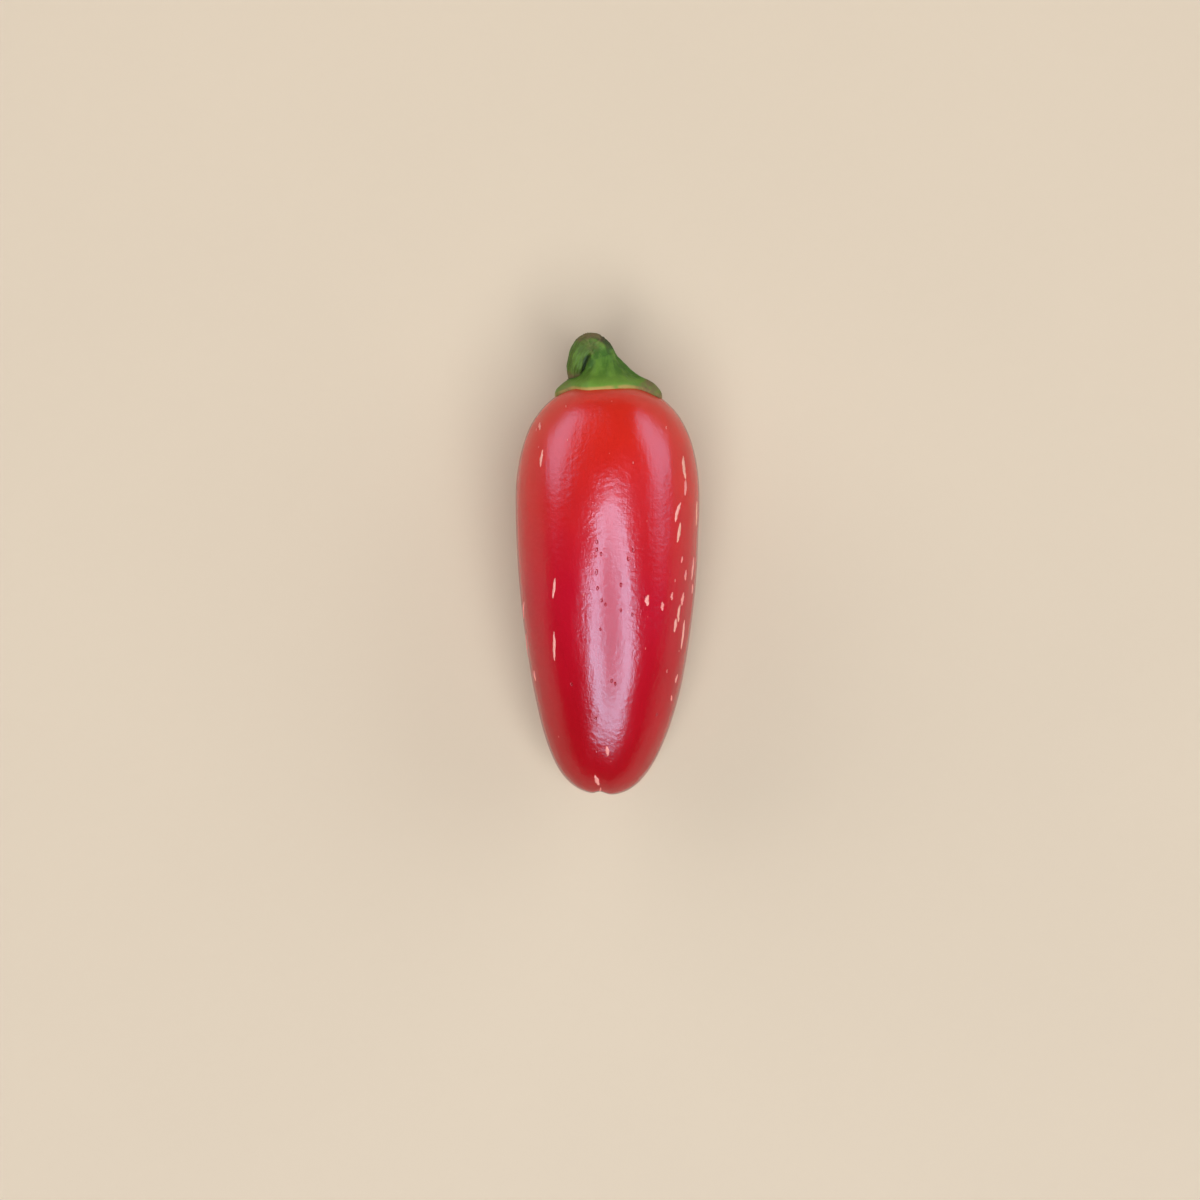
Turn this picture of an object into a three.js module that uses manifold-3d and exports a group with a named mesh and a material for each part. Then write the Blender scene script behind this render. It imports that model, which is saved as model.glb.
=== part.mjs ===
// A ripe chilli pepper, as picked, lying on its side: a short blunt pod, and the green calyx that
// caps its shoulder and runs on into a stalk stub, which is folded over and pressed back on it.
// Millimetres, +Z up. The pod's length runs along Y with the stalk towards +Y, it rests on a small
// flat spot at z = 0, and the origin is under the middle of the whole pepper.
import * as THREE from "three";
import { mergeVertices } from "three/addons/utils/BufferGeometryUtils.js";
import Module from "manifold-3d";

const wasm = await Module();
wasm.setup();

// Driving dimensions of the pod. Stations along it run from 0 at the blossom tip to POD_LENGTH.
const POD_LENGTH = 57.5;
const POD_HALF_WIDTH = 12.85;
const WIDEST_SHARE = 0.7; // where along its length the pod is widest
const TIP_FULLNESS = { power: 1.72, root: 0.36 }; // how the pod swells from its tip
const SHOULDER_FULLNESS = { power: 2.56, root: 0.389 }; // how it closes at its shoulder
const TIP_SWAY = 0.9; // how far the tip stands off to -X
const TIP_SWAY_RUN = 20; // the stretch over which it does
const TIP_SLANT = 0.1; // the tip's +X half reaches further, by this share of x
const TIP_SLANT_RUN = 5;
const LIE_TILT = THREE.MathUtils.degToRad(3.9); // the axis rises towards the wider shoulder
const REST_CUT = 0.2; // depth of the flat spot that it lies on

// Furrows between the lobes, by the angle round the pod: 0 is +X and 90 degrees is the top.
const SHOULDER_FURROWS = [
  { angle: 97, depth: 0.075, width: 27 },
  { angle: 209, depth: 0.06, width: 24 },
  { angle: 326, depth: 0.06, width: 24 },
];
const FURROW_START = 0.58; // share of the length where the shoulder furrows begin
const FURROW_RUN = 0.34; // and over which they deepen
const TIP_FURROWS = [
  { angle: 98, depth: 0.13, width: 17 },
  { angle: 200, depth: 0.03, width: 22 },
  { angle: 281, depth: 0.11, width: 20 },
];
const TIP_FURROW_RUN = 2.6;
const BLOSSOM_CLEFT = { depth: 0.75, halfWidth: 0.85, halfLength: 2.6 }; // the scar the flower left

// Corky growth cracks: low spindle-shaped ridges that run along the pod. Those on the upper side are
// placed by their distance across from the axis, seen from above, and their station; slant is how
// far one leans across over its length.
const CORK_WIDTH = 0.5;
const CORK_PROUD = 0.12; // how far a ridge stands out of the skin
const CORK_SUNK = 0.3; // and how deep its root goes
const CORK_RIDGES = [
  { across: 10.7, station: 45.9, length: 3.5, slant: -0.6 },
  { across: 10.9, station: 43.1, length: 2.4, slant: -0.5 },
  { across: 9.85, station: 39.7, length: 3.0, slant: 0.7 },
  { across: 9.9, station: 36.8, length: 3.0, slant: 0.4 },
  { across: 10.4, station: 33.0, length: 1.0, slant: 0 },
  { across: 10.9, station: 30.8, length: 1.6, slant: 0 },
  { across: 12.0, station: 31.8, length: 3.5, slant: 0.3 },
  { across: 11.9, station: 28.9, length: 1.4, slant: 0 },
  { across: 12.5, station: 39.5, length: 3.8, slant: 0.1 },
  { across: 9.1, station: 27.9, length: 1.2, slant: 0 },
  { across: 10.5, station: 27.5, length: 2.1, slant: 0.2 },
  { across: 5.7, station: 27.3, length: 1.7, slant: 0 },
  { across: 7.8, station: 26.5, length: 1.4, slant: 0 },
  { across: 10.0, station: 25.5, length: 2.7, slant: 0.2 },
  { across: 9.4, station: 23.8, length: 2.0, slant: 0 },
  { across: 10.5, station: 22.5, length: 4.4, slant: 0.4 },
  { across: 9.6, station: 16.4, length: 1.4, slant: 0.3 },
  { across: 9.0, station: 13.7, length: 0.9, slant: 0 },
  { across: -9.4, station: 51.7, length: 1.2, slant: 0 },
  { across: -9.3, station: 47.2, length: 2.7, slant: 0.3 },
  { across: -7.6, station: 29.0, length: 3.1, slant: 0.1 },
  { across: -7.4, station: 20.9, length: 4.4, slant: 0 },
  { across: -11.7, station: 25.9, length: 2.8, slant: 0 },
  { across: -11.3, station: 20.9, length: 3.6, slant: -0.2 },
  { across: -10.2, station: 16.7, length: 1.6, slant: -0.3 },
  { across: -0.2, station: 6.2, length: 1.2, slant: -0.3 },
];
// Ridges on the side it lies on, spread by a rule: the k-th takes the fraction of k times each step.
const CORK_BELOW = { count: 13, from: 190, to: 350, lowest: 14, highest: 50, shortest: 1.2, longest: 3.6 };
const CORK_STEPS = { angle: 0.618, station: 0.382, length: 0.271 };

// The calyx: a thick five-toothed cap on the shoulder.
const CALYX_RADIUS = 5.3;
const CALYX_THICKNESS = 1.25;
const CALYX_TEETH = [
  { angle: 14, reach: 2.5 },
  { angle: 120, reach: 0.6 },
  { angle: 173, reach: 2.2 },
  { angle: 237, reach: 1.5 },
  { angle: 305, reach: 1.8 },
];
const TOOTH_WIDTH = 17; // degrees
const TOOTH_RIB = 0.35; // how much thicker the cap is along the rib to each tooth
const CALYX_ROUNDING = { edge: 0.55, top: 0.6 }; // exponents: smaller ones give a squarer rim
const CALYX_ROOT = 2; // how deep its blank goes into the pod before it is cut to fit
const FIT_GAP = 0.2; // clearance between the cap and the pod
const FLARE = { radius: 3.95, slope: 1.15, softness: 0.35, lean: 0.2 }; // its rise into the stalk

// The stalk stub: its centre line from inside the cap to its free end, with the radius at each
// point. x and z are offsets from the pod's axis, and y is the station.
const STALK = [
  { x: -0.5, y: 58.0, z: 0.0, radius: 3.0 },
  { x: -0.75, y: 59.8, z: 0.05, radius: 2.75 },
  { x: -0.95, y: 61.2, z: 0.1, radius: 2.15 },
  { x: -1.3, y: 62.3, z: 0.25, radius: 1.68 },
  { x: -2.15, y: 63.0, z: 0.4, radius: 1.46 },
  { x: -3.05, y: 62.8, z: 0.5, radius: 1.42 },
  { x: -3.7, y: 62.0, z: 0.55, radius: 1.38 },
  { x: -4.12, y: 60.95, z: 0.5, radius: 1.3 },
  { x: -4.42, y: 59.9, z: 0.4, radius: 1.18 },
  { x: -4.62, y: 59.0, z: 0.25, radius: 0.95 },
  { x: -4.8, y: 58.2, z: 0.1, radius: 0.6 },
];
const STALK_CORNERS = 5; // a stalk of this kind is faintly five-sided
const STALK_CORNER_SWELL = 0.03;
const STALK_END_ROUND = 0.05; // share of its length over which each end closes

const POD_SIDES = 60;
const POD_RINGS = 46;
const RING_CROWDING = 2.3; // how far the rings draw together towards the two ends
const CALYX_SIDES = 50;
const CALYX_RINGS = 22;
const STALK_SIDES = 20;
const STALK_RINGS = 30;
const CORK_SIDES = 6;
const CORK_RINGS = 5;
const MERGE_DISTANCE = 1e-4;

const RED = 0xc01a22;
const GREEN = 0x4a7d2c;

const smooth = (t) => THREE.MathUtils.smoothstep(t, 0, 1);

// A bump of height 1 at an angle, as wide as width, both in degrees.
function bump(angle, centre, width) {
  const apart = THREE.MathUtils.euclideanModulo(angle - centre + 180, 360) - 180;
  return Math.exp(-((apart / width) ** 2));
}

// The pod's half width as a share of its widest, at a share of its length from the tip.
function fullness(share) {
  if (share < WIDEST_SHARE) {
    const towardsTip = 1 - Math.max(share, 0) / WIDEST_SHARE;
    return (1 - towardsTip ** TIP_FULLNESS.power) ** TIP_FULLNESS.root;
  }
  const towardsShoulder = Math.min((share - WIDEST_SHARE) / (1 - WIDEST_SHARE), 1);
  return (1 - towardsShoulder ** SHOULDER_FULLNESS.power) ** SHOULDER_FULLNESS.root;
}

// How far the furrows draw the skin in, as a share of the half width.
function furrowed(share, degrees) {
  const atShoulder = smooth((share - FURROW_START) / FURROW_RUN);
  const atTip = Math.exp((-share * POD_LENGTH) / TIP_FURROW_RUN);
  let drawnIn = 0;
  for (const f of SHOULDER_FURROWS) drawnIn += atShoulder * f.depth * bump(degrees, f.angle, f.width);
  for (const f of TIP_FURROWS) drawnIn += atTip * f.depth * bump(degrees, f.angle, f.width);
  return 1 - drawnIn;
}

// The station of the pod's shoulder at a distance from its axis: fullness turned round.
function shoulderStation(radius, degrees) {
  const filled = Math.min(radius / (POD_HALF_WIDTH * furrowed(1, degrees)), 1);
  const along = (1 - filled ** (1 / SHOULDER_FULLNESS.root)) ** (1 / SHOULDER_FULLNESS.power);
  return POD_LENGTH * (WIDEST_SHARE + (1 - WIDEST_SHARE) * along);
}

// A closed skin: a sphere whose points are placed again by their share from pole to pole (0 to 1)
// and their angle in degrees from +X towards +Z.
function closedSkin(sides, rings, place) {
  const geometry = new THREE.SphereGeometry(1, sides, rings);
  const { position, uv } = geometry.attributes;
  for (let i = 0; i < position.count; i += 1) {
    const share = uv.getY(i);
    const pole = share === 0 || share === 1;
    const degrees = pole ? 0 : 180 - 360 * uv.getX(i);
    position.setXYZ(i, ...place(share, degrees).toArray());
  }
  return geometry;
}

// A geometry as a solid that can be joined and cut.
function solidOf(geometry) {
  const bare = geometry.clone();
  bare.deleteAttribute("normal");
  bare.deleteAttribute("uv");
  const merged = mergeVertices(bare, MERGE_DISTANCE);
  return new wasm.Manifold(
    new wasm.Mesh({
      numProp: 3,
      vertProperties: merged.attributes.position.array,
      triVerts: new Uint32Array(merged.index.array),
    }),
  );
}

// A solid as a named mesh of the part.
function meshOf(name, solid, material) {
  const { vertProperties, triVerts } = solid.getMesh();
  const geometry = new THREE.BufferGeometry();
  geometry.setAttribute("position", new THREE.BufferAttribute(vertProperties, 3));
  geometry.setIndex(new THREE.BufferAttribute(triVerts, 1));
  geometry.computeVertexNormals();
  const mesh = new THREE.Mesh(geometry, material);
  mesh.name = name;
  return mesh;
}

// A point of the pod's skin by its station and its angle.
function podPoint(station, degrees) {
  const share = station / POD_LENGTH;
  const angle = THREE.MathUtils.degToRad(degrees);
  const fromAxis = POD_HALF_WIDTH * fullness(share) * furrowed(share, degrees);
  const across = fromAxis * Math.cos(angle);
  const up = fromAxis * Math.sin(angle);
  const sway = TIP_SWAY * Math.max(1 - station / TIP_SWAY_RUN, 0) ** 2;
  const slant = TIP_SLANT * across * Math.exp(-station / TIP_SLANT_RUN);
  const inCleft = (across / BLOSSOM_CLEFT.halfWidth) ** 2 + (up / BLOSSOM_CLEFT.halfLength) ** 2;
  const cleft = share < 0.5 ? BLOSSOM_CLEFT.depth * Math.exp(-inCleft) : 0;
  return new THREE.Vector3(across - sway, station + cleft - slant, up);
}

// One corky ridge, from a point of the skin towards another: a spindle with its root in the flesh.
function corkRidge(station, degrees, length, slant) {
  const turn = THREE.MathUtils.radToDeg(slant / 2 / POD_HALF_WIDTH);
  const ends = [-1, 1].map((end) => podPoint(station + (end * length) / 2, degrees + end * turn));
  const along = ends[1].clone().sub(ends[0]).normalize();
  const around = podPoint(station, degrees + 1).sub(podPoint(station, degrees - 1)).normalize();
  const out = around.clone().cross(along).normalize();
  const height = (CORK_PROUD + CORK_SUNK) / 2;
  const spindle = closedSkin(CORK_SIDES, CORK_RINGS, (share, round) => {
    const swell = Math.sin(Math.PI * share);
    const angle = THREE.MathUtils.degToRad(round);
    return new THREE.Vector3(
      (CORK_WIDTH / 2) * swell * Math.cos(angle),
      length * (share - 0.5),
      height * swell * Math.sin(angle) + CORK_PROUD - height,
    );
  });
  const frame = new THREE.Matrix4().makeBasis(out.clone().cross(along).negate(), along, out);
  return spindle.applyMatrix4(frame.setPosition(podPoint(station, degrees)));
}

// Every ridge: those of the list, and those that the rule spreads over the side it lies on.
function corkRidges() {
  const ridges = CORK_RIDGES.map(({ across, station, length, slant }) => {
    const right = podPoint(station, 0).x;
    const left = podPoint(station, 180).x;
    const share = (2 * across - right - left) / (right - left);
    const degrees = THREE.MathUtils.radToDeg(Math.acos(THREE.MathUtils.clamp(share, -1, 1)));
    return corkRidge(station, degrees, length, -slant);
  });
  for (let k = 1; k <= CORK_BELOW.count; k += 1) {
    const degrees = THREE.MathUtils.lerp(CORK_BELOW.from, CORK_BELOW.to, (k * CORK_STEPS.angle) % 1);
    const station = THREE.MathUtils.lerp(CORK_BELOW.lowest, CORK_BELOW.highest, (k * CORK_STEPS.station) % 1);
    const length = THREE.MathUtils.lerp(CORK_BELOW.shortest, CORK_BELOW.longest, (k * CORK_STEPS.length) % 1);
    ridges.push(corkRidge(station, degrees, length, 0));
  }
  return ridges;
}

// The pod's whole skin, grown outwards by a clearance where another piece is cut to fit it.
function podSkin(clearance = 0) {
  return closedSkin(POD_SIDES, POD_RINGS, (fromTip, degrees) => {
    const tipPart = fromTip ** RING_CROWDING;
    const share = tipPart / (tipPart + (1 - fromTip) ** RING_CROWDING);
    const angle = THREE.MathUtils.degToRad(degrees);
    const outwards = new THREE.Vector3(Math.cos(angle), 0, Math.sin(angle));
    return podPoint(share * POD_LENGTH, degrees)
      .addScaledVector(outwards, clearance * Math.sin(Math.PI * fromTip))
      .addScaledVector(THREE.Object3D.DEFAULT_UP, -clearance * Math.cos(Math.PI * fromTip));
  });
}

// How far the cap rises above its own thickness at a distance from the axis: a cone with a soft foot.
function flareRise(radius) {
  const inside = (FLARE.radius - radius) / FLARE.softness;
  return FLARE.slope * FLARE.softness * Math.log(1 + Math.exp(inside));
}

// The blank of the cap: a pillow that follows the shoulder's dome out to the toothed rim.
function calyxBlank() {
  return closedSkin(CALYX_SIDES, CALYX_RINGS, (share, degrees) => {
    const angle = THREE.MathUtils.degToRad(degrees);
    let rim = CALYX_RADIUS;
    let rib = 0;
    for (const tooth of CALYX_TEETH) {
      const near = bump(degrees, tooth.angle, TOOTH_WIDTH);
      rim += tooth.reach * near;
      rib += TOOTH_RIB * near;
    }
    const turn = Math.PI * (share - 0.5);
    const outwards = Math.cos(turn) ** CALYX_ROUNDING.edge;
    const lift = Math.sign(turn) * Math.abs(Math.sin(turn)) ** CALYX_ROUNDING.top;
    const radius = rim * outwards;
    const rise = lift > 0 ? flareRise(radius) : 0;
    const height = lift > 0 ? lift * (CALYX_THICKNESS + rib) + rise : lift * CALYX_ROOT;
    return new THREE.Vector3(
      radius * Math.cos(angle) - FLARE.lean * rise,
      shoulderStation(radius, degrees) + height,
      radius * Math.sin(angle),
    );
  });
}

// The blank of the stalk: a tube along its centre line, closed and rounded at both ends.
function stalkBlank() {
  const line = new THREE.CatmullRomCurve3(STALK.map((p) => new THREE.Vector3(p.x, p.y, p.z)));
  const frames = line.computeFrenetFrames(STALK_RINGS, false);
  return closedSkin(STALK_SIDES, STALK_RINGS, (share, degrees) => {
    const angle = THREE.MathUtils.degToRad(degrees);
    const step = Math.round(share * STALK_RINGS);
    const at = line.getUtoTmapping(share) * (STALK.length - 1);
    const before = Math.min(Math.floor(at), STALK.length - 2);
    const swell = 1 + STALK_CORNER_SWELL * Math.cos(STALK_CORNERS * angle);
    const fromEnd = Math.min(Math.min(share, 1 - share) / STALK_END_ROUND, 1);
    const closing = Math.sqrt(1 - (1 - fromEnd) ** 2);
    const radius =
      THREE.MathUtils.lerp(STALK[before].radius, STALK[before + 1].radius, at - before) * swell * closing;
    return line
      .getPointAt(share)
      .addScaledVector(frames.binormals[step], radius * Math.cos(angle))
      .addScaledVector(frames.normals[step], radius * Math.sin(angle));
  });
}

// The whole pepper is laid down on the surface: tilted, lifted so that the flat spot is at z = 0.
const lie = new THREE.Matrix4().makeRotationX(LIE_TILT);
const laidPod = podSkin().applyMatrix4(lie);
laidPod.computeBoundingBox();
lie.premultiply(new THREE.Matrix4().makeTranslation(0, 0, -laidPod.boundingBox.min.z - REST_CUT));

const tray = new THREE.BoxGeometry(4 * POD_HALF_WIDTH, 3 * POD_LENGTH, POD_HALF_WIDTH);
tray.translate(0, POD_LENGTH / 2, -POD_HALF_WIDTH / 2);

let pod = solidOf(podSkin().applyMatrix4(lie));
for (const ridge of corkRidges()) pod = pod.add(solidOf(ridge.applyMatrix4(lie)));
pod = pod.subtract(solidOf(tray));
const cap = solidOf(calyxBlank())
  .add(solidOf(stalkBlank()))
  .subtract(solidOf(podSkin(FIT_GAP)))
  .decompose()
  .sort((a, b) => b.volume() - a.volume())[0];

const podSkinRed = new THREE.MeshStandardMaterial({ color: RED, roughness: 0.28, metalness: 0 });
const calyxGreen = new THREE.MeshStandardMaterial({ color: GREEN, roughness: 0.6, metalness: 0 });
const podMesh = meshOf("pod", pod, podSkinRed);
const calyxMesh = meshOf("calyx_and_stalk", cap, calyxGreen);
calyxMesh.geometry.applyMatrix4(lie);

const pepper = new THREE.Group();
pepper.add(podMesh, calyxMesh);
const around = new THREE.Box3().setFromObject(pepper).getCenter(new THREE.Vector3());
pepper.position.set(-around.x, -around.y, 0);

export default pepper;
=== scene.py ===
"""A ripe chilli pepper as picked, lying on its side on a plain pale surface.

The pod is one waxy red skin with corky growth cracks. A green calyx caps its shoulder and runs on
into a stalk stub, which is folded over and pressed back on it. The pieces are shaped in
millimetres in the pod's own frame, where its length runs along +Y from the blossom tip and +Z is
up, and are then laid down and brought to the part's frame in metres.
"""

import logging
import math
import random
from collections.abc import Callable, Iterator, Mapping, Sequence
from contextlib import contextmanager
from dataclasses import dataclass, field
from enum import Enum

import bmesh
import bpy
from mathutils import Matrix, Vector, noise
from mathutils.kdtree import KDTree


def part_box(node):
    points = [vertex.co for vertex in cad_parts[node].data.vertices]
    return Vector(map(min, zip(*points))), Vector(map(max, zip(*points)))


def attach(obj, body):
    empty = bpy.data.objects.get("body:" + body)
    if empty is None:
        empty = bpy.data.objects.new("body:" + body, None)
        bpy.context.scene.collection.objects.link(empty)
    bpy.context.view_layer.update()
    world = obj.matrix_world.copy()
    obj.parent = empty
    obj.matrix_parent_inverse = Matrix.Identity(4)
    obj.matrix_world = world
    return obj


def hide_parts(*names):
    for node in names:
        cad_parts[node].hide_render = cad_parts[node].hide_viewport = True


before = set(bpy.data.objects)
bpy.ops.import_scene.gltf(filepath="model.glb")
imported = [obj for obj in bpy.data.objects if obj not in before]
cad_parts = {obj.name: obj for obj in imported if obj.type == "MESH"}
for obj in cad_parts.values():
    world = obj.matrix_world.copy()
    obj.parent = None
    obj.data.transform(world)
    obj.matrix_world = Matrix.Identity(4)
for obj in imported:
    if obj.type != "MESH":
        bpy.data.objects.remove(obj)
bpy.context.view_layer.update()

Colour = tuple[float, float, float]
log = logging.getLogger("chilli_pepper")

MM = 0.001  # one millimetre in the frame's metres
TINY = 1e-6  # keeps a division away from zero


class Node(Enum):
    """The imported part's nodes that the pieces stand for."""

    POD = "pod"
    CALYX = "calyx_and_stalk"


class Slot(Enum):
    """The record's material slots."""

    SKIN = "pod_skin"
    GREEN = "calyx_green"


def smooth_step(value: float, low: float, high: float) -> float:
    """Eases from 0 to 1.

    Args:
        value: where to read it.
        low: where it leaves 0.
        high: where it reaches 1. It may be below low, which turns the ease round.

    Returns:
        A number from 0 to 1.
    """
    t = min(max((value - low) / (high - low), 0.0), 1.0)
    return t * t * (3.0 - 2.0 * t)


def swell(degrees: float, centre: float, width: float) -> float:
    """Makes a soft bump round a circle.

    Args:
        degrees: the angle to read it at.
        centre: the angle of its top.
        width: its half width in degrees, where it has dropped to about a third.

    Returns:
        Its height there, 1 at the centre.
    """
    apart = (degrees - centre + 180.0) % 360.0 - 180.0
    return math.exp(-((apart / width) ** 2))


class Bench:
    """The hand tools: Blender's operators, each used on a piece that is picked first."""

    @staticmethod
    def pick(*pieces: bpy.types.Object) -> None:
        """Leaves only these pieces selected, with the first of them active.

        Args:
            pieces: one or more objects.
        """
        bpy.ops.object.select_all(action="DESELECT")
        for piece in pieces:
            piece.select_set(True)
        bpy.context.view_layer.objects.active = pieces[0]

    @staticmethod
    @contextmanager
    def editing(piece: bpy.types.Object) -> Iterator[bmesh.types.BMesh]:
        """Opens a piece in edit mode with nothing selected, and closes it again.

        Args:
            piece: the mesh object to edit.

        Yields:
            Its edit mesh.
        """
        Bench.pick(piece)
        bpy.ops.object.mode_set(mode="EDIT")
        bpy.ops.mesh.select_mode(type="VERT")
        bpy.ops.mesh.select_all(action="DESELECT")
        yield bmesh.from_edit_mesh(piece.data)
        bpy.ops.object.mode_set(mode="OBJECT")

    @staticmethod
    def grab(piece: bpy.types.Object, points: Sequence[bmesh.types.BMVert]) -> None:
        """Selects some points of the piece that is being edited, and nothing else.

        Args:
            piece: the mesh object.
            points: the points of its edit mesh.
        """
        bpy.ops.mesh.select_all(action="DESELECT")
        for point in points:
            point.select_set(True)
        bmesh.from_edit_mesh(piece.data).select_flush_mode()
        bmesh.update_edit_mesh(piece.data, loop_triangles=False, destructive=False)

    @staticmethod
    def apply(piece: bpy.types.Object, kind: str, **settings: object) -> None:
        """Finishes a piece with one modifier.

        Args:
            piece: the mesh object.
            kind: the modifier's type.
            settings: the modifier's own settings.
        """
        modifier = piece.modifiers.new(kind.lower(), kind)
        for name, value in settings.items():
            setattr(modifier, name, value)
        Bench.pick(piece)
        bpy.ops.object.modifier_apply(modifier=modifier.name)

    @staticmethod
    def roughen(piece: bpy.types.Object, grain: float, height: float, depth: int = 2) -> None:
        """Makes a surface uneven.

        Args:
            piece: the mesh object.
            grain: the size of the unevenness, in the piece's units.
            height: from its lowest to its highest point.
            depth: how much finer unevenness it carries.
        """
        clouds = bpy.data.textures.new(f"{piece.name}_unevenness", "CLOUDS")
        clouds.noise_scale = grain
        clouds.noise_depth = depth
        Bench.apply(piece, "DISPLACE", texture=clouds, texture_coords="LOCAL", strength=height)

    @staticmethod
    def throw(
        name: str, sides: int, rings: int, profile: Callable[[float], tuple[float, float]]
    ) -> bpy.types.Object:
        """Shapes a closed body of revolution along Y from a sphere, ring by ring.

        Args:
            name: the piece's name.
            sides: faces round it.
            rings: faces from pole to pole.
            profile: gives the station and the radius at a share of the way from pole to pole.

        Returns:
            The piece.
        """
        bpy.ops.mesh.primitive_uv_sphere_add(
            segments=sides, ring_count=rings, radius=1.0, rotation=(-math.pi / 2, 0.0, 0.0)
        )
        piece = bpy.context.object
        piece.name = name
        bpy.ops.object.transform_apply(rotation=True)
        with Bench.editing(piece) as mesh:
            levels: list[list[bmesh.types.BMVert]] = [[] for _ in range(rings + 1)]
            for point in mesh.verts:
                from_pole = math.acos(min(max(-point.co.y, -1.0), 1.0)) / math.pi
                levels[round(from_pole * rings)].append(point)
            for level, points in enumerate(levels):
                share = level / rings
                station, radius = profile(share)
                before = -math.cos(math.pi * share)
                Bench.grab(piece, points)
                if len(points) > 1:
                    wider = radius / math.sin(math.pi * share)
                    middle = (0.0, before, 0.0)
                    bpy.ops.transform.resize(value=(wider, 1.0, wider), center_override=middle)
                bpy.ops.transform.translate(value=(0.0, station - before, 0.0))
        return piece

    @staticmethod
    def sculpt(piece: bpy.types.Object, place: Callable[[Vector], Vector]) -> None:
        """Moves each point of a piece to where a rule places it.

        Args:
            piece: the mesh object.
            place: gives a point's new place from its old one.
        """
        for vertex in piece.data.vertices:
            vertex.co = place(vertex.co)
        piece.data.update()

    @staticmethod
    def paint(piece: bpy.types.Object, name: str, values: Sequence[float]) -> None:
        """Stores a number at each point of a piece, for its material to read.

        Args:
            piece: the mesh object.
            name: the attribute's name.
            values: a number for each point, in the points' order.
        """
        layer = piece.data.attributes.new(name, "FLOAT", "POINT")
        layer.data.foreach_set("value", values)

    @staticmethod
    def lay(piece: bpy.types.Object, lie: Matrix) -> None:
        """Puts a piece where it lies and leaves its object at the origin, smooth all over.

        Args:
            piece: the mesh object.
            lie: where it lies, from its own units to the frame's.
        """
        piece.matrix_world = lie
        Bench.pick(piece)
        bpy.ops.object.transform_apply(location=True, rotation=True, scale=True)
        bpy.ops.object.shade_smooth()


class Signal:
    """A socket's value in a sum: each operator adds the Math node that works it out."""

    def __init__(self, sheet: "Sheet", socket: bpy.types.NodeSocket) -> None:
        """Wraps a socket of a sheet."""
        self.sheet = sheet
        self.socket = socket

    def math(self, operation: str, *values: "Signal | float") -> "Signal":
        """Adds one Math node with these values as its inputs."""
        inputs = dict(enumerate(values))
        return self.sheet.node("ShaderNodeMath", {"operation": operation}, inputs)

    def __add__(self, other: "Signal | float") -> "Signal":
        """self + other"""
        return self.math("ADD", self, other)

    __radd__ = __add__

    def __sub__(self, other: "Signal | float") -> "Signal":
        """self - other"""
        return self.math("SUBTRACT", self, other)

    def __rsub__(self, other: float) -> "Signal":
        """other - self"""
        return self.math("SUBTRACT", other, self)

    def __mul__(self, other: "Signal | float") -> "Signal":
        """self * other"""
        return self.math("MULTIPLY", self, other)

    __rmul__ = __mul__

    def __truediv__(self, other: "Signal | float") -> "Signal":
        """self / other"""
        return self.math("DIVIDE", self, other)

    def __pow__(self, other: float) -> "Signal":
        """self to a power"""
        return self.math("POWER", self, other)

    def most(self, other: "Signal | float") -> "Signal":
        """The larger of the two."""
        return self.math("MAXIMUM", self, other)

    def ease(self, low: float, high: float) -> "Signal":
        """Eases from 0 to 1.

        Args:
            low: where it leaves 0.
            high: where it reaches 1. It may be below low, which turns the ease round.

        Returns:
            The eased value.
        """
        settings = {"interpolation_type": "SMOOTHSTEP"}
        inputs = {"Value": self, "From Min": low, "From Max": high}
        return self.sheet.node("ShaderNodeMapRange", settings, inputs)


Input = Signal | float | tuple[float, ...]


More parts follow.
